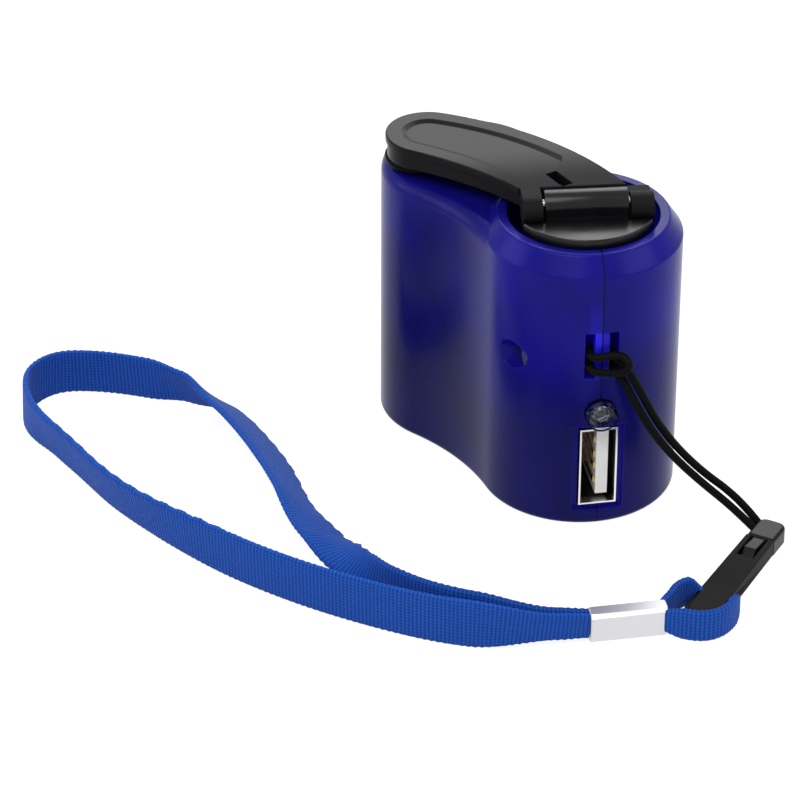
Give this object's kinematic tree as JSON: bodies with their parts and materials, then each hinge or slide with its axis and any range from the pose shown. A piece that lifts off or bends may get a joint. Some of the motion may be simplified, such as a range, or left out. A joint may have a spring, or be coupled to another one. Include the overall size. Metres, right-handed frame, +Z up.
{
  "type": "hand crank phone charger",
  "caption": "Pocket hand crank charger: translucent waisted housing, folding crank with finger knob, gear train and generator, USB socket, lamp and wrist lanyard.",
  "frame": {"origin": "on the surface that the charger stands on, on the axis of the crank", "axes": "+Z up along the crank axis, -Y towards the end with the USB socket, +Y towards the far lobe, +X to the right seen from the socket end"},
  "size_m": [0.1077, 0.0834, 0.0499],
  "materials": {
    "shell_blue": "translucent",
    "crank_black": "satin",
    "black_plastic": "satin",
    "blue_plastic": "satin",
    "white_plastic": "satin",
    "steel": "satin",
    "socket_metal": "polished",
    "contact_gold": "polished",
    "brass": "satin",
    "lamp_clear": "clear",
    "copper": "satin",
    "magnet": "satin",
    "board_green": "satin",
    "gear_white": "satin",
    "wire_red": "matt",
    "cord_black": "woven",
    "strap_blue": "woven"
  },
  "bodies": {
    "housing": {"left_shell": "shell_blue", "right_shell": "shell_blue", "case_screws": "steel", "usb_shell": "socket_metal", "usb_tongue": "white_plastic", "usb_contacts": "contact_gold", "led": "lamp_clear", "led_leads": "steel", "circuit_board": "board_green", "capacitor": "blue_plastic", "regulator_chip": "black_plastic", "diodes": "black_plastic", "lower_plate": "blue_plastic", "upper_plate": "blue_plastic", "plate_pillars": "brass", "cage_screws": "steel", "idler_axles": "steel", "generator_can": "steel", "generator_coil": "copper", "generator_wires": "wire_red", "crank_bush": "white_plastic", "lanyard_cord": "cord_black", "clip_cap": "black_plastic", "clip_sleeve": "black_plastic", "crimp": "socket_metal", "wrist_strap": "strap_blue", "strap_end_loop": "strap_blue"},
    "crank_hub": {"crank_hub": "crank_black", "hinge_pin": "steel", "crank_shaft": "steel", "hub_screw": "steel", "drive_gear": "gear_white"},
    "crank_arm": {"crank_arm": "crank_black", "knob_pin": "steel"},
    "finger_knob": {"knob": "crank_black"},
    "idler_1": {"idler_gear_1": "gear_white"},
    "idler_2": {"idler_gear_2": "gear_white"},
    "rotor": {"rotor_shaft": "steel", "rotor_magnet": "magnet", "rotor_pinion": "brass"}
  },
  "joints": [
    {"name": "crank_spin", "type": "hinge", "parent": "housing", "child": "crank_hub", "pos_m": [0, 0, 0.0382], "axis": [0, 0, 1], "continuous": true},
    {"name": "arm_fold", "type": "hinge", "parent": "crank_hub", "child": "crank_arm", "pos_m": [-0.00017, -0.00189, 0.04785], "axis": [0.9962, -0.0872, 0], "range_deg": [0, 180]},
    {"name": "knob_spin", "type": "hinge", "parent": "crank_arm", "child": "finger_knob", "pos_m": [-0.02036, 0.02206, 0.045], "axis": [0, 0, 1], "continuous": true},
    {"name": "idler_1_spin", "type": "hinge", "parent": "housing", "child": "idler_1", "pos_m": [-0.00374, 0.01193, 0.03], "axis": [0, 0, 1], "continuous": true},
    {"name": "idler_2_spin", "type": "hinge", "parent": "housing", "child": "idler_2", "pos_m": [-0.01232, 0.01463, 0.027], "axis": [0, 0, 1], "continuous": true},
    {"name": "rotor_spin", "type": "hinge", "parent": "housing", "child": "rotor", "pos_m": [-0.013, 0.0226, 0.015], "axis": [0, 0, 1], "continuous": true}
  ],
  "couplings": [
    {"joint": "idler_1_spin", "follows": "crank_spin", "ratio": -4},
    {"joint": "idler_2_spin", "follows": "crank_spin", "ratio": 10.4},
    {"joint": "rotor_spin", "follows": "crank_spin", "ratio": -22.88}
  ]
}
